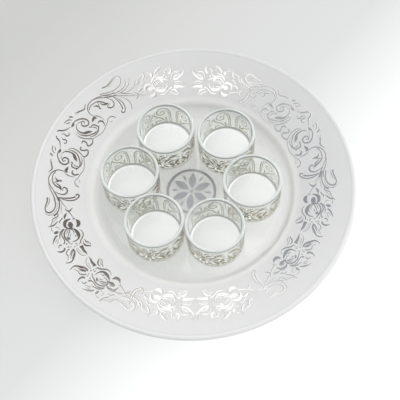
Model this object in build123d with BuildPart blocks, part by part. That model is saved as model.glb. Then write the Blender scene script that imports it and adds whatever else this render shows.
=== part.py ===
from build123d import *

import os
from math import cos, radians, sin

# A seder plate: a round glass plate with a wide, gently rising rim, and six loose glass cups
# that stand in a ring in its well. Millimetres. The origin is the middle of the flat underside,
# +Z is up, +Y is the far side and +X is the right side.

# Plate
plate_radius = 165.0     # to the outermost point of the rounded edge
plate_glass = 5.0        # thickness, the same from the middle to the edge
cove_radius = 10.5       # hollow bend where the well floor turns up, on the upper surface
cove_angle = 53.0        # slope of the well's wall at its steepest, degrees
shoulder_radius = 4.0    # hollow bend from the well's wall out to the rim, on the underside
rim_angle = 9.5          # slope of the rim, degrees

# Cups
cup_rim_radius = 29.5    # outside, at the lip
cup_foot_radius = 28.8   # outside, at the foot before it is rounded
cup_height = 38.0
cup_wall = 3.2
cup_base = 4.0           # glass under the inside bottom
cup_heel_round = 2.0     # rounding of the foot's outer corner
cup_inside_round = 2.5   # rounding where the inside bottom meets the wall
cup_lip_share = 0.44     # fire-polished rounding of the lip on each side, as a share of the wall

# Places
cup_gap = 2.0            # between neighbouring cups in an even ring, where they are widest
cup_ring_turn = -7.4     # direction of the first cup, degrees from +X
cove_gap = 0.7           # from a foot in an even ring to the start of the cove

# The ring in order, anticlockwise from the right, with how far each loose cup stands from its even place
cup_nudges = {
    "cup_right": (-0.8, -1.6),
    "cup_rear_right": (-1.4, -3.2),
    "cup_rear_left": (-2.5, -2.4),
    "cup_left": (-1.7, -2.1),
    "cup_front_left": (-1.0, -0.3),
    "cup_front_right": (-2.3, -0.2),
}
cup_step = 360 / len(cup_nudges)
cup_widest_radius = max(cup_rim_radius, cup_foot_radius)
cup_ring_radius = (cup_widest_radius + cup_gap / 2) / sin(radians(cup_step / 2))

# The flat floor reaches just past the feet of the cups, and the rim takes up what is left
floor_radius = cup_ring_radius + cup_foot_radius + cove_gap
edge_radius = plate_glass / 2
shoulder_top_radius = shoulder_radius + plate_glass
cove_reach = cove_radius * sin(radians(cove_angle))
shoulder_reach = shoulder_top_radius * (sin(radians(cove_angle)) - sin(radians(rim_angle)))
rim_start = floor_radius + cove_reach + shoulder_reach
rim_end = plate_radius - edge_radius - edge_radius * sin(radians(rim_angle))
rim_length = (rim_end - rim_start) / cos(radians(rim_angle))
shoulder_angle = cove_angle - rim_angle

os.makedirs("parts", exist_ok=True)

# The plate: one sheet of glass, turned about the middle. The profile runs outwards along the
# upper surface, round the edge, and back along the underside at the same thickness.
with BuildPart() as plate:
    with BuildSketch(Plane.XZ):
        with BuildLine():
            floor_top = Line((0, plate_glass), (floor_radius, plate_glass))
            cove_top = JernArc(floor_top @ 1, floor_top % 1, cove_radius, cove_angle)
            shoulder_top = JernArc(cove_top @ 1, cove_top % 1, shoulder_top_radius, -shoulder_angle)
            rim_top = PolarLine(shoulder_top @ 1, rim_length, rim_angle)
            edge = JernArc(rim_top @ 1, rim_top % 1, edge_radius, -180)
            rim_under = PolarLine(edge @ 1, rim_length, rim_angle + 180)
            shoulder_under = JernArc(rim_under @ 1, rim_under % 1, shoulder_radius, shoulder_angle)
            cove_under = JernArc(
                shoulder_under @ 1, shoulder_under % 1, cove_radius + plate_glass, -cove_angle
            )
            Polyline(cove_under @ 1, (0, 0), floor_top @ 0)
        make_face()
    revolve(axis=Axis.Z)
plate.part.label = "plate"
export_step(plate.part, "parts/plate.step")

# The cups: each a plain straight-sided tumbler with a rounded foot and lip, on the well floor
for cup_index, (cup_name, (nudge_x, nudge_y)) in enumerate(cup_nudges.items()):
    cup_turn = radians(cup_ring_turn + cup_index * cup_step)
    cup_x = cup_ring_radius * cos(cup_turn) + nudge_x
    cup_y = cup_ring_radius * sin(cup_turn) + nudge_y
    cup_middle = (cup_x, cup_y, plate_glass)
    with BuildPart() as cup:
        with BuildSketch(Plane(cup_middle, x_dir=(1, 0, 0), z_dir=(0, -1, 0))) as cup_section:
            with BuildLine():
                Polyline(
                    (0, 0),
                    (cup_foot_radius, 0),
                    (cup_rim_radius, cup_height),
                    (cup_rim_radius - cup_wall, cup_height),
                    (cup_foot_radius - cup_wall, cup_base),
                    (0, cup_base),
                    close=True,
                )
            make_face()
            foot_corners, bottom_corners, lip_corners = cup_section.vertices().group_by(Axis.Y)
            fillet(foot_corners.sort_by(Axis.X)[-1], cup_heel_round)
            fillet(bottom_corners.sort_by(Axis.X)[-1], cup_inside_round)
            fillet(lip_corners, cup_wall * cup_lip_share)
        revolve(axis=Axis(cup_middle, (0, 0, 1)))
    cup.part.label = cup_name
    export_step(cup.part, f"parts/{cup_name}.step")
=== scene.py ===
import bmesh
import bpy
from math import cos, hypot, pi, radians, sin, tan
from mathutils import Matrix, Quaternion, Vector


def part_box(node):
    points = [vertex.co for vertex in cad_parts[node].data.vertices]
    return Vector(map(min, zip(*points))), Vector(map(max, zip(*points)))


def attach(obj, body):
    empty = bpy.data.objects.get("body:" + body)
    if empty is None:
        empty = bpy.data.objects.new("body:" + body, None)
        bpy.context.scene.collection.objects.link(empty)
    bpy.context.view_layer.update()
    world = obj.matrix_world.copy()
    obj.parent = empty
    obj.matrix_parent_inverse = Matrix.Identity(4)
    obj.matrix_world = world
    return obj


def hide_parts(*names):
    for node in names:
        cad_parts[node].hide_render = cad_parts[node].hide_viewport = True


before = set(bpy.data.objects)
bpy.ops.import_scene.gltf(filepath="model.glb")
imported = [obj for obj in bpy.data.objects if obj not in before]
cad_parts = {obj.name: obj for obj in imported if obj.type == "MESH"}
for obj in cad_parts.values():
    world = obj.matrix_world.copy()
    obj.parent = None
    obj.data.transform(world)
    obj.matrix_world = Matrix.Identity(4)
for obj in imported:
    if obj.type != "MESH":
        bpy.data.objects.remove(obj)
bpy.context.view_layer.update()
scene = bpy.context.scene
mm = 0.001
weld = 0.002 * mm        # turned points nearer than this are one
glassIndex = 1.5         # how strongly all the glass bends light


# Mesh helpers

def newPiece(name, bm, materials):
    mesh = bpy.data.meshes.new(name)
    bm.to_mesh(mesh)
    bm.free()
    piece = bpy.data.objects.new(name, mesh)
    scene.collection.objects.link(piece)
    for material in materials:
        mesh.materials.append(material)
    for face in mesh.polygons:
        face.use_smooth = True
    return piece


# turns a profile of (radius, height, rounding) corners, in mm, about an upright axis
def turnedGlass(corners, steps, roundSteps):
    bm = bmesh.new()
    points = [bm.verts.new((radius * mm, 0, height * mm)) for radius, height, rounding in corners]
    for here, there in zip(points, points[1:]):
        bm.edges.new((here, there))
    for point, (radius, height, rounding) in zip(points, corners):
        if rounding:
            bmesh.ops.bevel(bm, geom=[point], offset=rounding * mm, offset_type="OFFSET", affect="VERTICES",
                            segments=roundSteps, profile=0.5, material=-1)
    bmesh.ops.remove_doubles(bm, verts=bm.verts, dist=weld)
    bmesh.ops.spin(bm, geom=bm.verts[:] + bm.edges[:], cent=(0, 0, 0), axis=(0, 0, 1), angle=2 * pi,
                   steps=steps, use_merge=True)
    bmesh.ops.remove_doubles(bm, verts=bm.verts, dist=weld)
    bmesh.ops.recalc_face_normals(bm, faces=bm.faces)
    return bm


# Material helpers

def newMaterial(name):
    material = bpy.data.materials.new(name)
    material.use_nodes = True
    nodes = material.node_tree.nodes
    return material, nodes, material.node_tree.links, nodes["Principled BSDF"], nodes["Material Output"]


# lets lamps through a glass, so that what stands under it is lit
def letLampsThrough(nodes, links, shader, output, tint):
    path = nodes.new("ShaderNodeLightPath")
    either = newMath(nodes, links, "MAXIMUM", path.outputs["Is Shadow Ray"], path.outputs["Is Diffuse Ray"])
    clear = nodes.new("ShaderNodeBsdfTransparent")
    clear.inputs["Color"].default_value = (*tint, 1)
    mix = nodes.new("ShaderNodeMixShader")
    links.new(either, mix.inputs[0])
    links.new(shader.outputs[0], mix.inputs[1])
    links.new(clear.outputs[0], mix.inputs[2])
    links.new(mix.outputs[0], output.inputs["Surface"])


# a ramp with (position, colour) stops, where a single number is a grey
def newRamp(nodes, stops):
    ramp = nodes.new("ShaderNodeValToRGB")
    elements = ramp.color_ramp.elements
    while len(elements) < len(stops):
        elements.new(0.5)
    for element, (position, colour) in zip(elements, stops):
        element.position = position
        element.color = (*(colour if isinstance(colour, tuple) else (colour,) * 3), 1)
    return ramp


def newRange(nodes, links, value, low, high, most=1):
    share = nodes.new("ShaderNodeMapRange")
    share.inputs["From Min"].default_value = low
    share.inputs["From Max"].default_value = high
    share.inputs["To Max"].default_value = most
    links.new(value, share.inputs["Value"])
    return share.outputs[0]


def newMath(nodes, links, operation, first, second):
    step = nodes.new("ShaderNodeMath")
    step.operation = operation
    links.new(first, step.inputs[0])
    links.new(second, step.inputs[1])
    return step.outputs[0]


# clear glass in the well, etched to a soft satin from the shoulder out to the edge, with a painted shade
# line and a painted highlight in its colour at the rounded edge
def satinGlass(look):
    material, nodes, links, glass, output = newMaterial("satinPlateGlass")
    glass.inputs["IOR"].default_value = glassIndex
    place = nodes.new("ShaderNodeTexCoord")
    across = nodes.new("ShaderNodeVectorMath")
    across.operation = "MULTIPLY"
    across.inputs[1].default_value = (1, 1, 0)
    links.new(place.outputs["Object"], across.inputs[0])
    radius = nodes.new("ShaderNodeVectorMath")
    radius.operation = "LENGTH"
    links.new(across.outputs[0], radius.inputs[0])
    share = newRange(nodes, links, radius.outputs["Value"], 0, look["radius"] * mm)
    for socket, stops in look["etch"].items():
        ramp = newRamp(nodes, [(reach / look["radius"], colour) for reach, colour in stops])
        links.new(share, ramp.inputs[0])
        links.new(ramp.outputs[0], glass.inputs[socket])
    letLampsThrough(nodes, links, glass, output, look["lampTint"])
    return material


# one finish of the cups' glass, from clear to ground
def cupGlass(name, colour, roughness, transmission, lampTint):
    material, nodes, links, glass, output = newMaterial(name)
    glass.inputs["Base Color"].default_value = (*colour, 1)
    glass.inputs["IOR"].default_value = glassIndex
    glass.inputs["Roughness"].default_value = roughness
    glass.inputs["Transmission Weight"].default_value = transmission
    letLampsThrough(nodes, links, glass, output, lampTint)
    return material


# The plate, a sheet of slumped glass with a rounded edge

plateLook = dict(
    radius=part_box("plate")[1].x / mm,
    glass=5.0,
    floorRadius=90.5,
    coveRadius=10.5,
    coveAngle=radians(53),
    shoulderRadius=9.0,
    rimAngle=radians(9.5),
    support=1.0,         # keeps the flat stretches flat up to this close to a bend
    steps=256,
    roundSteps=10,
    # the etched satin and the glass's colour, by radius
    etch={
        "Roughness": [(85, 0.03), (91, 0.3), (101, 0.38), (109, 0.4), (160, 0.4), (161.2, 0.35)],
        "Transmission Weight": [(90, 0.97), (97.3, 0.95), (101, 0.81), (104, 0.61), (110, 0.4), (160, 0.4),
                                (161.2, 0.45)],
        # in the colour, the dip at 160.1 mm is a painted shade line and the paler edge beyond it a painted
        # highlight
        "Base Color": [(80, (0.95, 0.95, 0.935)), (96.3, (0.94, 0.94, 0.93)), (102.8, (0.84, 0.84, 0.83)),
                       (110, 0.68), (159.4, 0.68), (160.1, 0.58), (161.2, 0.74)],
    },
    lampTint=(0.985, 0.985, 0.98),    # what a surface lets through of a lamp's light
)


def plateCorners(look):
    rise, slope, glass = look["coveAngle"], look["rimAngle"], look["glass"]
    floorEnd, support = look["floorRadius"], look["support"]
    coveCut = tan(rise / 2)
    shoulderCut = tan((rise - slope) / 2)
    along, upright = Vector((cos(slope), sin(slope))), Vector((-sin(slope), cos(slope)))
    cove = Vector((floorEnd + look["coveRadius"] * coveCut, glass))
    wall = look["coveRadius"] * coveCut + look["shoulderRadius"] * shoulderCut
    shoulder = cove + wall * Vector((cos(rise), sin(rise)))
    rimStart = shoulder + look["shoulderRadius"] * shoulderCut * along
    edgeMiddle = look["radius"] - glass / 2
    rimLength = (edgeMiddle - glass / 2 * sin(slope) - shoulder.x) / cos(slope)
    edgeTop = shoulder + (rimLength + glass / 2) * along
    edgeUnder = edgeTop - glass * upright
    turn = (rise + slope) / 2
    shoulderUnder = shoulder + glass / cos((rise - slope) / 2) * Vector((sin(turn), -cos(turn)))
    coveUnder = cove + glass * Vector((coveCut, -1))
    top = [
        (0, glass, 0),
        (floorEnd / 2, glass, 0),
        (floorEnd - support, glass, 0),
        (*cove, look["coveRadius"] * coveCut),
        (*shoulder, look["shoulderRadius"] * shoulderCut),
        (*(rimStart + support * along), 0),
        (*((rimStart + edgeTop) / 2), 0),
        (*(edgeTop - (glass / 2 + support) * along), 0),
        (*edgeTop, glass / 2),
    ]
    under = [
        (*edgeUnder, glass / 2),
        (*(edgeUnder - (glass / 2 + support) * along), 0),
        (*shoulderUnder, (look["shoulderRadius"] - glass) * shoulderCut),
        (*coveUnder, (look["coveRadius"] + glass) * coveCut),
        (floorEnd - support, 0, 0),
        (floorEnd / 2, 0, 0),
        (0, 0, 0),
    ]
    return top + under, shoulder


plateProfile, rimFoot = plateCorners(plateLook)
plate = newPiece("glassPlate", turnedGlass(plateProfile, plateLook["steps"], plateLook["roundSteps"]),
                 [satinGlass(plateLook)])
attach(plate, "plate")
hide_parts("plate")
print("plate turned,", len(plate.data.polygons), "faces")


# The cups, straight-sided glass with a shallow hollow under the foot

cupLook = dict(
    footRadius=28.8,
    wall=3.2,
    base=4.0,
    heel=2.0,
    insideRound=2.5,
    lipRound=1.3,
    lipBand=1.5,         # height of the softened lip
    cornerBand=0.9,      # height of the pale ring round the inside bottom, a painted highlight
    bendBand=2.3,        # height to which the bend above that corner is darkened with painted shade
    underside=-0.9,      # a face that looks down more steeply than this is ground
    bendSlopes=(0.1, 0.999),    # how far up a face looks in the bend round the inside bottom
    hollowRadius=24.0,
    hollowDepth=0.5,
    standOff=0.04,       # keeps the foot ring just off the well floor
    support=0.8,         # keeps the straight stretches straight up to this close to a bend
    steps=160,
    roundSteps=8,
    # colour, roughness and transmission
    finishes={
        "cupGlass": ((0.96, 0.978, 0.963), 0.015, 1),
        "groundFoot": ((0.87, 0.87, 0.87), 0.45, 0.1),
        "softLip": ((0.76, 0.8, 0.775), 0.3, 0.55),
        # a pale, mostly diffuse ring in the inside corner: a painted highlight
        "paintedHighlightCorner": ((0.97, 0.975, 0.97), 0.3, 0.2),
        # a dark band in the bend above that ring: painted shade
        "paintedShadeBend": ((0.46, 0.475, 0.46), 0.3, 0.4),
    },
    lampTint=(0.97, 0.975, 0.97),
)
cupNames = [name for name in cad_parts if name.startswith("cup_")]


def cupCorners(look, lipRadius, height):
    foot, wall, base, support = look["footRadius"], look["wall"], look["base"], look["support"]
    lift, hollow = look["standOff"], look["hollowDepth"]
    drop = look["lipRound"] + support
    bendTop = base + look["insideRound"] + support
    lean = (lipRadius - foot) / height
    return [
        (0, lift + hollow, 0),
        (look["hollowRadius"] - support, lift + hollow, 0),
        (look["hollowRadius"] + hollow, lift, hollow / 2),
        (foot, lift, look["heel"]),
        (foot + lean * (look["heel"] + support), look["heel"] + support, 0),
        (lipRadius - lean * drop, height - drop, 0),
        (lipRadius, height, look["lipRound"]),
        (lipRadius - wall, height, look["lipRound"]),
        (lipRadius - wall - lean * drop, height - drop, 0),
        (foot - wall + lean * bendTop, bendTop, 0),
        (foot - wall + lean * base, base, look["insideRound"]),
        (foot - wall - look["insideRound"] - support, base, 0),
        (0, base, 0),
    ]


# the finish of each face: ground underneath, soft at the lip, and round the inside bottom a ring of painted
# highlight under a band of painted shade
def cupFinish(look, face, up, height):
    bend = look["bendSlopes"][0] < face.normal.z < look["bendSlopes"][1]
    if up > height - look["lipBand"]:
        return "softLip"
    if bend and up < look["base"] + look["cornerBand"]:
        return "paintedHighlightCorner"
    if bend and up < look["base"] + look["bendBand"]:
        return "paintedShadeBend"
    return "groundFoot" if face.normal.z < look["underside"] else "cupGlass"


finishNames = list(cupLook["finishes"])
cupFinishes = [cupGlass(name, *finish, cupLook["lampTint"]) for name, finish in cupLook["finishes"].items()]
cupPlaces = {}
for name in cupNames:
    low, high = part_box(name)
    lipRadius, height = (high.x - low.x) / 2 / mm, (high.z - low.z) / mm
    middle = (low + high) / 2
    middle.z = low.z
    cupPlaces[name] = (middle, (lipRadius - cupLook["footRadius"]) / height)
    bm = turnedGlass(cupCorners(cupLook, lipRadius, height), cupLook["steps"], cupLook["roundSteps"])
    bmesh.ops.translate(bm, verts=bm.verts, vec=middle)
    for face in bm.faces:
        up = (face.calc_center_median().z - low.z) / mm
        face.material_index = finishNames.index(cupFinish(cupLook, face, up, height))
    cup = newPiece("glass_" + name, bm, cupFinishes)
    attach(cup, name)
    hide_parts(name)
print(len(cupNames), "cups turned")


# Silver print, drawn as strokes with real widths and laid on the glass

printLook = dict(
    smooth=5,            # steps from one point of a stroke to the next
    weld=0.001,          # mm, points of a stroke nearer than this are one
    thickness=0.04,      # mm
    clear=0.01,          # mm between the glass and the print, so that their faces don't fight
    grain=900,           # fineness of the cloudy polish, per metre
    grainDetail=3,
    grainSpread=0.4,     # share by which the roughness comes and goes
)
rimLook = dict(
    middle=(-3.0, 0.2),
    drawnAt=130.0,       # radius on which the strokes' lengths are true
    silver=(0.77, 0.76, 0.75),
    roughness=0.07,
)

# each stroke: widths at its start, middle and end, then points as (along the rim, outward)
scrollStrokes = [
    # hook at the middle, and the base line that ends in a small arch
    ((1.4, 1.6, 1.3), (6.2, 122.9), (8.5, 123.4), (9.8, 121.8), (9.5, 119.6), (8, 117.6), (6.9, 116.2),
     (7.8, 114.8), (10.2, 113.9), (13, 113.8), (15.7, 115), (17, 116.8)),
    ((0.9, 1.0, 1.1), (17, 116), (22, 114.2), (26, 112.8), (30, 112.2), (35, 112.6), (39, 114), (42, 115),
     (45.4, 116.4), (48, 118), (50.6, 118.4), (53, 117.6), (55, 115.8), (56.2, 113.6)),
    ((0.3, 0.7, 0.3), (46.6, 114.8), (48.6, 113.4), (51, 113.3)),
    # large scroll with a dark crescent
    ((0.4, 1.2, 1.3), (13.4, 134), (12, 131), (11.7, 128.4), (12.1, 125.2), (13.4, 122), (15.2, 118.9),
     (17, 116.6)),
    ((0.8, 1.4, 2.0), (21.4, 138.4), (18.8, 137), (17.2, 134.6), (16.8, 131.4), (17.1, 128.8),
     (18.2, 126.4)),
    ((0.8, 3.2, 0.4), (16.9, 129.4), (18.2, 126.4), (20.8, 124.4), (23, 122.6), (25, 120.6)),
    ((0.8, 1.5, 1.5), (14.7, 133.6), (14.4, 130), (14.8, 126.6), (16.2, 123.6), (18.4, 121.4), (20.6, 120),
     (23, 118.6), (26, 117.4), (29, 117), (31.6, 117.6), (33, 119), (33.2, 121.6), (32.4, 124),
     (30.4, 125.2), (27.8, 125.2), (27, 126.4)),
    ((0.3, 0.8, 0.5), (15.7, 129), (16, 125.2), (18, 122.4), (20, 121)),
    ((0.5, 1.3, 1.2), (17.2, 119.6), (20, 117.4), (23.2, 116.2), (26.8, 115.8), (30, 116.6)),
    ((0.5, 1.1, 0.8), (28.6, 123.6), (30, 122.4), (30.6, 120.4), (30.2, 118.2)),
    ((1.6, 1.4, 0.8), (32.4, 118.4), (34.2, 119.3), (35.6, 119.2)),
    # volute
    ((0.8, 2.6, 0.8), (16.6, 141.4), (19, 141.2), (22, 141.8)),
    ((1.2, 1.7, 0.9), (17.6, 142), (20.4, 142.6), (23.6, 142.2), (27, 140.4), (29.8, 138), (31.6, 135),
     (31.8, 132), (30.4, 129.8), (28, 129), (25.6, 130), (24.2, 132.4), (24.8, 134.8), (27, 135.8),
     (28.6, 134.8), (28, 133.2), (26.8, 132.4)),
    ((0.5, 0.9, 0.5), (21.4, 138.4), (24.4, 138.2), (26.6, 136.9), (28.2, 135.2)),
    # crest over it
    ((1.3, 1.5, 0.7), (6.4, 151.6), (8, 150), (9, 147.4), (10.6, 145.4), (13, 143.8), (16.4, 142.2)),
    ((0.6, 1.5, 1.0), (5.8, 146), (6.9, 143.4), (6.2, 141), (7.4, 139.2), (9, 139), (10.2, 140.6)),
    ((0.5, 1.3, 0.7), (16.8, 148.2), (18.4, 146.6), (20.2, 145.3)),
    ((1.3, 1.3, 0.6), (16.4, 149.8), (18.4, 149.9), (20.4, 149), (22, 147.4), (22.9, 145.2)),
    ((1.5, 1.4, 0.6), (24.2, 149.7), (25.4, 147.8), (25.8, 145.8)),
    ((0.7, 1.7, 0.6), (30, 147.8), (33.4, 146), (36, 144.5), (39, 143.4), (41.4, 144.8), (43.8, 146.7)),
    ((0.4, 0.8, 0.4), (29.4, 145.5), (33, 145.2), (36, 143.9)),
    # blob and hook between the scrolls
    ((1.0, 3.0, 1.2), (33.4, 128), (36, 128.5), (38.6, 129), (40.1, 126.8)),
    ((0.8, 1.9, 1.3), (36, 122), (38.2, 122.9), (40.2, 122), (41.5, 120.2), (40.8, 117.4), (39.4, 115.6)),
    # arch with hanging leaves
    ((0.7, 1.1, 0.5), (39.4, 131), (42.2, 128.4), (43.8, 124), (44.2, 118.8)),
    ((0.8, 1.4, 1.2), (39.6, 130.4), (39, 134), (39.2, 137), (40.6, 140), (43, 142.6), (46, 144.3),
     (50, 144.8), (54, 143.8), (57.4, 142), (60, 140)),
    ((1.2, 1.4, 1.9), (41.4, 138.6), (43.2, 140.2), (46, 141.2), (49.6, 141.1), (53, 140.2), (55.4, 138.2),
     (57.4, 135.4), (58.6, 132.8), (60.6, 130.8)),
    ((0.8, 1.6, 1.2), (54, 136.8), (55.6, 133.8), (57.6, 131.9), (60.2, 131)),
    ((0.5, 2.0, 0.9), (47, 138.7), (49.4, 137.2), (50.9, 134.8), (50.4, 132.8), (51, 130.8)),
    ((0.4, 1.2, 0.4), (53.4, 139.6), (52.4, 137), (52, 134.4)),
    ((0.7, 1.7, 0.8), (63.2, 137), (65, 133.4), (66, 130), (65.3, 127), (63.4, 125.5), (60.6, 125.2),
     (58.5, 126.6), (57.8, 128.6), (59.6, 129.8), (62.2, 129.9)),
    ((0.6, 1.3, 1.6), (53.6, 144.6), (58, 143.4), (62, 141.5), (66, 139.4), (70, 138.1), (73, 137.6)),
    ((0.9, 1.5, 1.8), (59.4, 140.4), (62.4, 138.6), (65.4, 136.7), (69, 135.2), (73, 133.8)),
]
roseStrokes = [
    # dark leaf that points to the middle, and its pale half
    ((0.3, 2.6, 4.0), (-5, 125.2), (-1.6, 125.4), (2, 125.8), (5, 125.6), (7.8, 125.7)),
    ((0.3, 0.9, 0.7), (-4.4, 126.6), (-3.2, 128.8), (-1, 130.6), (2, 131.6), (5, 131.5), (7.6, 131)),
    ((0.3, 0.6, 0.3), (0, 128.6), (4, 129.6), (7.6, 129.6)),
    # inner leaf
    ((0.8, 1.9, 0.6), (2, 117.2), (3.6, 118.6), (4.8, 120.4), (6.8, 121.8), (9.4, 122.2), (12.2, 121.6)),
    ((0.6, 1.1, 1.2), (3.4, 117), (5.4, 116.6), (8, 117.4), (10.4, 119), (13.2, 119.8)),
    ((0.3, 0.7, 0.3), (5.2, 118.2), (8, 119), (11, 120.2)),
    # outer leaf with a shaded base
    ((0.8, 1.8, 2.4), (-1.2, 147.8), (-2.3, 145), (-2.4, 142), (-1, 139.6), (0.8, 137.4), (3, 135.4),
     (5.2, 134.4), (8.2, 134.4)),
    ((0.5, 1.2, 1.4), (0.2, 144.4), (2.4, 143), (4.4, 142.1), (6, 142.7), (8, 141.4), (9.5, 139.2),
     (9.9, 137.2)),
    ((0.3, 1.6, 0.8), (-0.6, 140.6), (1.4, 138), (4, 135.6)),
    ((0.4, 1.4, 1.0), (0.6, 141.4), (3.4, 138.8), (6.6, 135.4)),
    ((0.3, 1.2, 1.4), (3, 141), (5.4, 138.4), (7.6, 135.6)),
    # beads of the calyx
    ((1.0, 1.9, 1.0), (14.8, 137.2), (15.6, 137.4), (16.4, 137.6)),
    ((0.9, 1.3, 0.9), (12, 138.4), (12.2, 137.4), (12, 136.4)),
    ((0.7, 1.0, 0.7), (10.9, 136), (11.3, 135.4), (10.8, 134.6)),
    ((0.8, 1.3, 0.8), (9.2, 132.4), (9.5, 131.6), (9.6, 130.8)),
    ((0.8, 1.2, 0.8), (10, 129.6), (10.2, 128.9), (10.3, 128.2)),
    ((0.9, 1.3, 0.8), (12, 130), (12.2, 129), (12.5, 127.8)),
    ((0.7, 1.2, 0.7), (13, 133.2), (13.6, 132.8), (14.2, 132.2)),
    ((0.8, 1.1, 0.6), (10.4, 127), (10.8, 126.2), (11.6, 125.8)),
    # bloom: sepal, dark lower petal, folds, upper arcs
    ((1.6, 1.5, 0.6), (10.2, 124.8), (13, 123.8), (15.2, 121.6), (17.6, 119.4), (20.6, 118.2),
     (23.6, 118.4), (26.4, 119.8)),
    ((0.8, 1.5, 2.4), (15.4, 131.4), (15.3, 128.6), (15.9, 125.8), (17.6, 123.4)),
    ((1.6, 3.6, 1.8), (16.6, 124.4), (19, 122.9), (22, 122.7), (25.4, 123.2), (29, 124.8)),
    ((0.6, 1.3, 0.8), (19, 126.2), (20.8, 125.7), (21.6, 124)),
    ((0.5, 1.2, 1.5), (22.6, 126.8), (25, 126.2), (28, 126.6), (30.6, 128)),
    ((1.2, 2.6, 0.8), (19, 131.9), (20.4, 133.4), (22.6, 134.3)),
    ((0.4, 1.0, 0.5), (20.6, 132), (22.6, 130.4), (24.6, 129.2)),
    ((0.5, 1.5, 0.7), (21.4, 133.6), (25, 131.6), (28.4, 129.2), (30.2, 128)),
    ((0.6, 1.9, 1.4), (13.2, 133), (15.4, 134.4), (18.4, 135.2), (21, 136), (24.4, 136.3), (27.6, 135),
     (30, 132.8), (31.4, 130.6)),
    ((0.5, 1.2, 0.9), (24.6, 133.6), (27.2, 132.6), (29.6, 130.6), (31, 129.2)),
    ((1.6, 1.5, 1.3), (16.8, 140.2), (18.4, 138.3), (21, 137.9), (24.4, 138.4), (27.2, 138), (29.8, 136.2),
     (31.6, 133.6)),
    ((0.8, 1.8, 1.2), (22.4, 141.4), (25.4, 140.6), (28.2, 139.2), (30.4, 136.8), (31.8, 134.2)),
    # bud with three lobes
    ((1.0, 2.2, 1.0), (31.4, 131.4), (30.4, 128.2), (29.4, 125)),
    ((1.6, 3.4, 1.2), (31.9, 130.8), (34, 132.1), (36.8, 131.8), (39.2, 130.6), (40.3, 128.4), (41, 125)),
    ((2.4, 5.2, 2.6), (30.6, 126.6), (34, 126.7), (37.6, 126.4)),
    ((2.0, 3.8, 1.2), (30.4, 121.6), (31.6, 119.4), (34.2, 118.4), (36.8, 118.6), (39, 120.2)),
    ((0.8, 1.3, 0.9), (39.4, 123.2), (40.9, 121.8), (39.6, 120.6)),
    # leaves over the bloom
    ((0.8, 1.9, 2.2), (12, 149.2), (10.6, 146.6), (10.2, 144.2), (11.2, 142), (12.9, 141.2)),
    ((0.6, 1.2, 1.5), (13.8, 145.5), (15.6, 145.8), (16.8, 144.4), (16.4, 142.2)),
    ((0.6, 1.9, 1.4), (19.6, 150), (22, 148.7), (23.9, 147), (25.5, 145.4), (26.4, 143.8), (26.6, 142.2)),
    ((0.3, 0.9, 0.3), (18.2, 145.6), (20.6, 144.4), (22.8, 142.4)),
    ((0.3, 0.8, 0.3), (20.6, 147), (22.4, 145.2), (23.8, 143)),
    ((1.6, 3.0, 1.4), (30, 144.8), (30.1, 142.4), (30.4, 140)),
    ((0.4, 0.9, 0.5), (31.4, 144.8), (33, 145.8), (35, 145.8), (36, 145)),
    ((0.4, 0.8, 0.5), (35.2, 142.4), (35.4, 140.2), (34.2, 138.8), (31.8, 138.4)),
    # long serrated leaf
    ((0.5, 1.6, 0.9), (37.4, 148.6), (37.6, 146), (37.7, 143.6), (38.6, 141.4), (40.2, 139.2),
     (41.4, 137.4)),
    ((0.8, 1.4, 1.4), (38.2, 136.3), (40.2, 136.4), (42, 134.4), (44, 132.6)),
    ((0.7, 1.2, 1.4), (38, 146.4), (39.6, 144.6), (42.4, 143), (44.4, 142), (45.2, 140), (45.8, 138),
     (47.6, 136.3), (49.4, 136.8)),
    ((0.3, 0.7, 0.4), (40.6, 142.6), (43.4, 139.6), (45.4, 135.8)),
    # stem, small leaf and hook
    ((0.6, 2.3, 0.7), (41.4, 130.6), (44.2, 130.4), (46.6, 129), (48.8, 127.4)),
    ((0.9, 1.1, 1.2), (41.2, 122.2), (44.2, 123), (47, 124.1), (50, 125.6)),
    ((0.7, 1.7, 0.9), (53.8, 128.6), (51.6, 127), (50.4, 124.8), (51.6, 122.8), (54, 121)),
    ((0.4, 1.0, 1.3), (53.2, 126), (55.8, 127.6), (58.6, 129.6), (62, 131.2), (66.5, 134)),
]
plumeStrokes = [
    ((2.0, 1.5, 1.8), (47.6, 140.5), (48.6, 138.4), (50, 136.9), (52, 135.4), (55, 134.2), (59, 133.5),
     (63, 133.4), (66.5, 134.6)),
    ((0.4, 0.9, 0.5), (49, 133), (53, 132.2), (57, 131.8), (60.4, 131.6)),
    ((1.8, 1.5, 1.5), (67, 145.2), (63.4, 145.2), (60.4, 146.4), (57, 147.8), (53.8, 147.8), (51.5, 145.6),
     (51.6, 142.6), (53.4, 139.8), (56.6, 138), (61, 137.4), (64.4, 137.8), (67, 138.4)),
    ((0.5, 0.8, 0.5), (52, 148.6), (49.6, 146.6), (48.8, 144), (49.8, 140.6), (52.2, 137.6), (56, 136),
     (62, 135.5)),
    ((0.4, 1.0, 0.8), (57, 146.2), (60, 144.4), (63.4, 143), (67, 143.4)),
]
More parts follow.
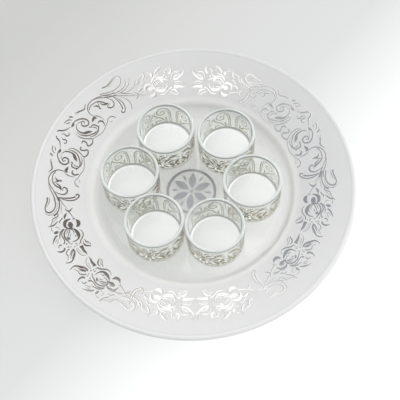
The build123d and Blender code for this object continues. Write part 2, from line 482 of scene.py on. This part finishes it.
# the same plume where it is drawn out to reach the scroll beside it
longPlumeStrokes = [
    ((1.8, 1.2, 1.2), (79.4, 149), (74.8, 148.6), (69.2, 151.4), (65, 153.4), (61.8, 153.2), (60.2, 150),
     (61.6, 145.2), (66.6, 141.4), (73, 140.6), (79.2, 142), (84.6, 144)),
    ((0.8, 1.0, 0.5), (74.4, 147), (69.6, 149.6), (64.8, 151.8)),
    ((0.5, 1.3, 0.6), (56.4, 146), (58, 141.6), (63, 137.8), (68.8, 136.8), (75.6, 138.2), (81.6, 140.8)),
    ((0.5, 1.1, 0.5), (51.6, 147.2), (54.2, 141), (59.2, 136.6), (66.4, 134.6), (73, 135.4)),
    ((0.5, 1.0, 0.5), (47.2, 140.8), (50.8, 135.6), (56.6, 132.8), (63.6, 132.6)),
    ((0.5, 0.9, 0.7), (41, 120.4), (50, 123.6), (58.8, 127), (67, 131), (74.8, 135.2), (81.8, 140.2)),
    ((0.4, 1.2, 0.6), (69.4, 131.2), (64, 124.6), (62.4, 117.6), (64.4, 111.8)),
]
dropStrokes = [
    ((0.5, 1.5, 1.7), (2.2, 133.4), (0.6, 130.2), (-1, 126.6), (-2, 122), (-1.4, 117.4), (1, 114),
     (4.2, 112.8), (5.6, 114.4), (4.2, 116)),
    ((0.5, 1.7, 1.9), (2.4, 133), (1.3, 128), (1, 122.6), (1.5, 118.8), (2.7, 116.2)),
]
plumedRose = roseStrokes + plumeStrokes
# the motifs round the rim as strokes and a pivot in their frame, then for each copy the pivot's direction
# in degrees, which way it runs, how far it is moved outward and how much it is tilted
rimMotifs = {
    "scrollsRight": (scrollStrokes, (31, 132), (20.4, -1, -1.75, 0), (43.2, 1, -2.0, 1.5)),
    "roseFarRight": (plumedRose, (21.5, 132), (76.7, -1, -4.5, 3.5)),
    "roseFar": (roseStrokes + longPlumeStrokes, (21.5, 132), (102.7, 1, -3.5, 4.5)),
    "scrollsLeft": (scrollStrokes, (31, 132), (143.1, -1, 1.25, -0.5), (166.7, 1, 0, 0)),
    "roseFarLeft": (plumedRose, (21.5, 132), (203.5, -1, 0, 0)),
    "roseNearLeft": (roseStrokes, (21.5, 132), (227.4, 1, 2.75, 5.5)),
    "roseNear": (plumedRose, (21.5, 132), (259.7, -1, -3.25, 1)),
    "roseNearRight": (roseStrokes, (21.5, 132), (282.7, 1, -1.5, 5.5)),
    "rosesRight": (plumedRose, (21.5, 132), (320.9, -1, -2.25, 2), (344.8, 1, -2.0, 4)),
    "drops": (dropStrokes, (0, 123), (3, 1, 0, 0), (58.8, 1, -0.6, 0), (125.2, 1, 1.4, 0),
              (184.5, -1, 0.6, 0), (243.4, 1, 6.8, 0), (301.2, 1, -1, 0)),
}


def silverPrint(name, look):
    material, nodes, links, silver, output = newMaterial(name)
    silver.inputs["Base Color"].default_value = (*look["silver"], 1)
    silver.inputs["Metallic"].default_value = 1
    place = nodes.new("ShaderNodeTexCoord")
    cloud = nodes.new("ShaderNodeTexNoise")
    cloud.inputs["Scale"].default_value = printLook["grain"]
    cloud.inputs["Detail"].default_value = printLook["grainDetail"]
    links.new(place.outputs["Object"], cloud.inputs["Vector"])
    spread = nodes.new("ShaderNodeMapRange")
    spread.inputs["To Min"].default_value = look["roughness"] * (1 - printLook["grainSpread"])
    spread.inputs["To Max"].default_value = look["roughness"] * (1 + printLook["grainSpread"])
    links.new(cloud.outputs[0], spread.inputs["Value"])
    links.new(spread.outputs[0], silver.inputs["Roughness"])
    return material


# strokes as thin closed bars in their own flat frame, in mm
def drawStrokes(strokes):
    curve = bpy.data.curves.new("strokes", "CURVE")
    curve.dimensions = "3D"
    curve.twist_mode = "Z_UP"
    curve.bevel_depth = 1
    curve.bevel_resolution = 1
    curve.use_fill_caps = True
    curve.resolution_u = printLook["smooth"]
    for (start, middle, end), *points in strokes:
        spline = curve.splines.new("BEZIER")
        spline.bezier_points.add(len(points) - 1)
        spline.radius_interpolation = "CARDINAL"
        for index, (knot, point) in enumerate(zip(spline.bezier_points, points)):
            knot.co = (*point, 0)
            share = 2 * index / (len(points) - 1) - 1
            width = middle + ((start if share < 0 else end) - middle) * (1 - cos(share * pi / 2))
            knot.radius = width / 2
        for knot in spline.bezier_points:
            knot.handle_left_type = "AUTO"
            knot.handle_right_type = "AUTO"
    holder = bpy.data.objects.new("strokes", curve)
    mesh = bpy.data.meshes.new_from_object(holder)
    bm = bmesh.new()
    bm.from_mesh(mesh)
    bpy.data.objects.remove(holder)
    bpy.data.curves.remove(curve)
    bpy.data.meshes.remove(mesh)
    bmesh.ops.remove_doubles(bm, verts=bm.verts, dist=printLook["weld"])
    half = printLook["thickness"] / 2
    for vert in bm.verts:
        vert.co.z = max(-half, min(half, vert.co.z)) + half + printLook["clear"]
    return bm


# lays one print piece: strokes, and a rule for where each drawn point goes, once for each copy
def layPrint(name, body, material, copies):
    whole = bmesh.new()
    for strokes, rule in copies:
        bm = drawStrokes(strokes)
        for vert in bm.verts:
            vert.co = rule(*vert.co) * mm
        mesh = bpy.data.meshes.new("copy")
        bm.to_mesh(mesh)
        bm.free()
        whole.from_mesh(mesh)
        bpy.data.meshes.remove(mesh)
    bmesh.ops.recalc_face_normals(whole, faces=whole.faces)
    piece = newPiece(name, whole, [material])
    for face in piece.data.polygons:
        face.use_smooth = False
    piece.visible_shadow = False      # its shadows would leave the well too dark
    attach(piece, body)


def rimRule(pivot, direction, side, shift, tilt):
    def rule(along, outward, height):
        flat = Vector((along - pivot[0], outward - pivot[1], 0))
        flat.rotate(Quaternion((0, 0, 1), radians(tilt)))
        angle = radians(direction) + side * flat.x / rimLook["drawnAt"]
        reach = pivot[1] + shift + flat.y
        x = rimLook["middle"][0] + reach * cos(angle)
        y = rimLook["middle"][1] + reach * sin(angle)
        rise = (hypot(x, y) - rimFoot.x) * tan(plateLook["rimAngle"])
        return Vector((x, y, rimFoot.y + rise + height))
    return rule


rimSilver = silverPrint("rimSilver", rimLook)
for name, (strokes, pivot, *places) in rimMotifs.items():
    copies = [(strokes, rimRule(pivot, *place)) for place in places]
    layPrint("rimPrint_" + name, "plate", rimSilver, copies)
print("rim print laid in", len(rimMotifs), "motifs")


# Petal rosette in a ring, in the middle of the well

wellLook = dict(
    middle=(-2.0, 0.0),
    petals=6,
    turn=radians(-7),
    ring=24.2,
    ringWidth=2.8,
    ringPoints=7,        # from one petal to the next
    silver=(0.6, 0.605, 0.635),
    roughness=0.4,
)
petalStep = 2 * pi / wellLook["petals"]
rosettePetal = [
    ((0.6, 7.4, 0.6), (0, 3.2), (0, 7.6), (0, 12), (0, 16.4), (0, 21)),
]
rosetteBud = [
    ((0.4, 2.6, 0.4), (0, 13.4), (0, 16.8), (0, 20.4)),
]
rosetteHeart = [
    ((1.6, 4.0, 1.6), (-1.7, 0), (0, 0), (1.7, 0)),
]


# the stretch of the ring from one petal to the next
def ringStrokes(look):
    turns = [petalStep * index / (look["ringPoints"] - 1) for index in range(look["ringPoints"])]
    points = [(look["ring"] * sin(turn), look["ring"] * cos(turn)) for turn in turns]
    return [((look["ringWidth"],) * 3, *points)]


def wellRule(turn):
    def rule(across, outward, height):
        flat = Vector((across, outward, plateLook["glass"] + height))
        flat.rotate(Quaternion((0, 0, 1), wellLook["turn"] + turn))
        return flat + Vector((*wellLook["middle"], 0))
    return rule


rosetteRing = ringStrokes(wellLook)
rosette = [(rosetteHeart, wellRule(0))]
for index in range(wellLook["petals"]):
    rosette.append((rosettePetal, wellRule(index * petalStep)))
    rosette.append((rosetteBud, wellRule((index + 0.5) * petalStep)))
    rosette.append((rosetteRing, wellRule(index * petalStep)))
layPrint("wellPrint", "plate", silverPrint("wellSilver", wellLook), rosette)
print("well print laid")


# Band of arches and sprigs round each cup

# the direction, in degrees, of the clear gap at the back of each cup
bandTurns = {
    "cup_right": 76,
    "cup_rear_right": 73,
    "cup_rear_left": 74,
    "cup_left": 90,
    "cup_front_left": 78,
    "cup_front_right": 65,
}
bandLook = dict(
    quarters=4,
    foot=2.4,            # height at which the band starts
    beads=9,             # in half a quarter
    beadUp=32.4,
    beadHalf=0.5,
    beadWidths=(1.0, 1.6, 1.0),
    frontBelow=-0.3,     # a half quarter that looks forward more than this is at the front
    silver=(0.38, 0.35, 0.25),
    roughness=0.28,
)
halfQuarter = pi * cupLook["footRadius"] / bandLook["quarters"]
lineStrokes = [
    ((1.0, 1.0, 1.0), (0.4, 0.1), (halfQuarter / 2, 0.1), (halfQuarter, 0.1)),
    ((1.2, 1.2, 1.2), (0.4, 2.4), (halfQuarter / 2, 2.4), (halfQuarter, 2.4)),
]
archStrokes = [
    # frame that curls into a spiral, and its inner line
    ((1.0, 1.4, 0.9), (3.4, 0.4), (3.2, 9), (3.4, 18), (5, 25), (9, 28.8), (14, 28.4), (17.8, 24.6),
     (18, 19.4), (14.8, 16.2), (11.2, 17.4), (10.2, 20.6), (12, 22.8), (14.2, 21.6), (13.8, 19.8)),
    ((0.4, 0.9, 0.4), (5.2, 3), (5, 11), (5.4, 19), (7.2, 24.4), (10.6, 26.4)),
    # branches from the frame's foot
    ((0.6, 1.8, 0.5), (5.6, 1), (10, 5), (13.6, 10), (18.4, 12.6), (21.8, 12)),
    ((0.5, 1.8, 0.4), (7, 3.4), (8.6, 8.4), (7.6, 13)),
    ((0.5, 1.6, 0.5), (12, 7.4), (15.6, 5.6), (19, 7), (20.4, 4.4), (18, 2.6)),
    ((0.4, 1.5, 0.4), (15.6, 11.4), (19.2, 15.4), (21.8, 19.4), (20.8, 24)),
]
# half of a blossom with a leafy branch beside it, for the quarters at the front
leafStrokes = [
    ((0.9, 2.8, 1.1), (0.4, 15.8), (0.9, 19), (2.2, 22)),
    ((0.9, 2.8, 1.1), (0.6, 15), (2.4, 15), (4.4, 15)),
    ((0.9, 2.8, 1.1), (0.4, 14.2), (0.9, 11), (2.2, 8)),
    ((0.8, 1.3, 0.8), (4.4, 11), (8, 16), (12, 13.4), (16, 9.6), (19.6, 13), (22.4, 16.4)),
    # long leaves that lie along the branch, above it and below it
    ((0.5, 3.2, 0.4), (5.6, 15), (8.6, 20), (14, 21.6)),
    ((0.5, 3.2, 0.4), (10, 14), (13, 17.4), (18, 18)),
    ((0.5, 3.0, 0.4), (15.4, 9.8), (18.2, 14), (21, 20)),
    ((0.5, 3.0, 0.4), (4.2, 10.6), (7.6, 6.6), (13, 5)),
    ((0.5, 3.0, 0.4), (9.6, 13), (13.4, 8.8), (17.4, 5.6)),
    ((0.5, 2.8, 0.4), (17, 9.6), (20, 7.4), (22.2, 4)),
    ((0.5, 2.8, 0.4), (3, 20.6), (5, 25), (10, 27.4)),
    ((0.5, 2.6, 0.4), (9.6, 22.4), (14.6, 25.4), (21, 24.4)),
    ((0.4, 2.2, 0.4), (0.6, 26), (3, 28.6), (7, 30)),
    ((0.4, 2.2, 0.4), (13, 29.4), (17, 28), (21.8, 28.6)),
    ((0.4, 2.2, 0.4), (0.6, 5), (3, 4.2), (5.4, 6)),
    # small sprigs in the spaces between them
    ((0.4, 1.5, 0.4), (3.4, 17), (4.6, 19.4), (7.4, 22.8)),
    ((0.4, 1.5, 0.4), (6, 9.8), (8.4, 11.6), (10.8, 10.6)),
    ((0.4, 1.5, 0.4), (11.4, 11.6), (13.6, 12.4), (15, 15.4)),
    ((0.4, 1.5, 0.4), (19.4, 11), (20.8, 11.2), (22.4, 9.6)),
    ((0.4, 1.5, 0.4), (18.6, 21.2), (20.2, 22.2), (22.2, 21.6)),
    ((0.4, 1.5, 0.4), (8, 28.6), (10, 30), (12.4, 30.2)),
    ((0.4, 1.5, 0.4), (2.6, 24), (1.2, 23.4), (0.6, 22.6)),
    ((0.4, 1.5, 0.4), (10.4, 24.8), (12.4, 27), (15.6, 27.2)),
    ((0.4, 1.4, 0.4), (12.4, 6.8), (14, 4.6), (16.4, 3.6)),
    ((0.4, 1.4, 0.4), (17.8, 6.8), (19, 4.8), (20.2, 4.2)),
]


# row of beads under the lip, above the branch
def beadStrokes(look):
    half, up = look["beadHalf"], look["beadUp"]
    strokes = []
    for bead in range(look["beads"]):
        across = halfQuarter * (bead + 0.5) / look["beads"]
        strokes.append((look["beadWidths"], (across - half, up), (across, up), (across + half, up)))
    return strokes


def cupRule(middle, lean, turn, side):
    def rule(along, upward, height):
        up = bandLook["foot"] + upward
        radius = cupLook["footRadius"] + lean * up + height
        angle = turn + side * along / cupLook["footRadius"]
        return middle / mm + Vector((radius * cos(angle), radius * sin(angle), up))
    return rule


bandSilver = silverPrint("bandSilver", bandLook)
frontStrokes = lineStrokes + leafStrokes + beadStrokes(bandLook)
sideStrokes = lineStrokes + archStrokes
for name in cupNames:
    copies = []
    for index in range(bandLook["quarters"]):
        turn = radians(bandTurns[name]) + 2 * pi * index / bandLook["quarters"]
        for side in (1, -1):
            front = sin(turn + side * pi / bandLook["quarters"] / 2) < bandLook["frontBelow"]
            copies.append((frontStrokes if front else sideStrokes, cupRule(*cupPlaces[name], turn, side)))
    layPrint("bandPrint_" + name, name, bandSilver, copies)
print("bands laid round the cups")


# Floor, light and camera

stageLook = dict(
    floorHalf=6.0,
    floorDrop=0.3 * mm,
    floorRoughness=0.6,
    floorPaintedLightTurn=radians(-42),           # direction in which the floor grows paler, as painted light
    floorReach=0.3,                   # how far the tones go to either side of the middle
    floorPaintedLightTones=[                      # from painted shade at the far left to painted light at the near right
        (0.05, (0.5, 0.505, 0.49)),
        (0.275, (0.575, 0.58, 0.57)),
        (0.5, (0.615, 0.62, 0.62)),
        (0.72, (0.88, 0.885, 0.885)),
        (0.8, 0.97),
    ],
    horizon=(0.66, 0.665, 0.67),
    overheadUp=(0.35, 0.65),          # how high up the overhead takes over from the horizon
    overheadBack=(-0.1, 0.12),        # how far back it does so
    # on the left it does so farther back, so that the rim's far right reflects the plain horizon
    overheadLeft=(-0.085, -0.13),
    overheadLeftBack=0.28,
    # overhead from left to right: a long bright panel between a bluish and a dim warm strip
    overhead=[
        (-0.45, (0.6, 0.6, 0.61)),
        (-0.28, (0.33, 0.35, 0.39)),
        (-0.15, (0.40, 0.42, 0.46)),
        (-0.085, (1.4, 1.4, 1.38)),
        (0.025, (1.4, 1.4, 1.38)),
        (0.08, (0.20, 0.18, 0.165)),
        (0.2, (0.20, 0.18, 0.165)),
        (0.4, 0.6),
    ],
)


# a floor with painted shade and painted light graded across its colour
def makeFloor(look):
    bm = bmesh.new()
    bmesh.ops.create_grid(bm, x_segments=1, y_segments=1, size=look["floorHalf"])
    bmesh.ops.translate(bm, verts=bm.verts, vec=(0, 0, -look["floorDrop"]))
    material, nodes, links, paper, output = newMaterial("paleTable")
    place = nodes.new("ShaderNodeTexCoord")
    across = nodes.new("ShaderNodeVectorMath")
    across.operation = "DOT_PRODUCT"
    across.inputs[1].default_value = (cos(look["floorPaintedLightTurn"]), sin(look["floorPaintedLightTurn"]), 0)
    links.new(place.outputs["Object"], across.inputs[0])
    tone = newRamp(nodes, look["floorPaintedLightTones"])
    reach = look["floorReach"]
    links.new(newRange(nodes, links, across.outputs["Value"], -reach, reach), tone.inputs[0])
    links.new(tone.outputs[0], paper.inputs["Base Color"])
    paper.inputs["Roughness"].default_value = look["floorRoughness"]
    floor = newPiece("floor", bm, [material])


# a pale band round the horizon, and the overhead as a ramp across it
def makeWorld(look):
    world = bpy.data.worlds.new("studio")
    scene.world = world
    world.use_nodes = True
    nodes, links = world.node_tree.nodes, world.node_tree.links
    place = nodes.new("ShaderNodeTexCoord")
    split = nodes.new("ShaderNodeSeparateXYZ")
    links.new(place.outputs["Generated"], split.inputs[0])
    ramp = newRamp(nodes, [((direction + 1) / 2, colour) for direction, colour in look["overhead"]])
    ramp.color_ramp.interpolation = "EASE"
    links.new(newRange(nodes, links, split.outputs["X"], -1, 1), ramp.inputs[0])
    upward = newRange(nodes, links, split.outputs["Z"], *look["overheadUp"])
    leftward = newRange(nodes, links, split.outputs["X"], *look["overheadLeft"], look["overheadLeftBack"])
    held = newMath(nodes, links, "SUBTRACT", split.outputs["Y"], leftward)
    backward = newRange(nodes, links, held, *look["overheadBack"])
    sky = nodes.new("ShaderNodeMix")
    sky.data_type = "RGBA"
    sky.inputs["A"].default_value = (*look["horizon"], 1)
    links.new(newMath(nodes, links, "MULTIPLY", upward, backward), sky.inputs["Factor"])
    links.new(ramp.outputs[0], sky.inputs["B"])
    links.new(sky.outputs["Result"], nodes["Background"].inputs["Color"])


# wide soft suns, each named with where it stands, its power and its spread
lampLook = dict(
    sideLamp=((0.8, 0.45, 0.42), 2.45, radians(60)),
    keyLamp=((0.25, 0.45, 0.95), 1.05, radians(28)),
)


def makeLamp(name, place, power, spread):
    lamp = bpy.data.lights.new(name, "SUN")
    lamp.energy = power
    lamp.angle = spread
    holder = bpy.data.objects.new(name, lamp)
    scene.collection.objects.link(holder)
    holder.location = place
    holder.rotation_euler = (-Vector(place)).to_track_quat("-Z", "Y").to_euler()
    holder.visible_glossy = False
    holder.visible_transmission = False


makeFloor(stageLook)
makeWorld(stageLook)
for name, settings in lampLook.items():
    makeLamp(name, *settings)

cameraLook = dict(
    azimuth=radians(2.78),
    elevation=radians(63.85),
    roll=radians(-4.61),
    distance=1.040,
    aim=Vector((6.6, -10.5, 5)) * mm,
    lens=91.62,
    sensor=36,
)


def makeCamera(look):
    lens = bpy.data.cameras.new("camera")
    lens.lens = look["lens"]
    lens.sensor_width = look["sensor"]
    camera = bpy.data.objects.new("camera", lens)
    scene.collection.objects.link(camera)
    turn, rise = look["azimuth"], look["elevation"]
    back = Vector((sin(turn) * cos(rise), -cos(turn) * cos(rise), sin(rise)))
    camera.location = look["aim"] + back * look["distance"]
    camera.rotation_mode = "QUATERNION"
    camera.rotation_quaternion = (-back).to_track_quat("-Z", "Y") @ Quaternion((0, 0, 1), look["roll"])
    scene.camera = camera


makeCamera(cameraLook)
scene.view_settings.view_transform = "Standard"
scene.cycles.max_bounces = 20
scene.cycles.transmission_bounces = 18
scene.cycles.transparent_max_bounces = 24
print("stage set")
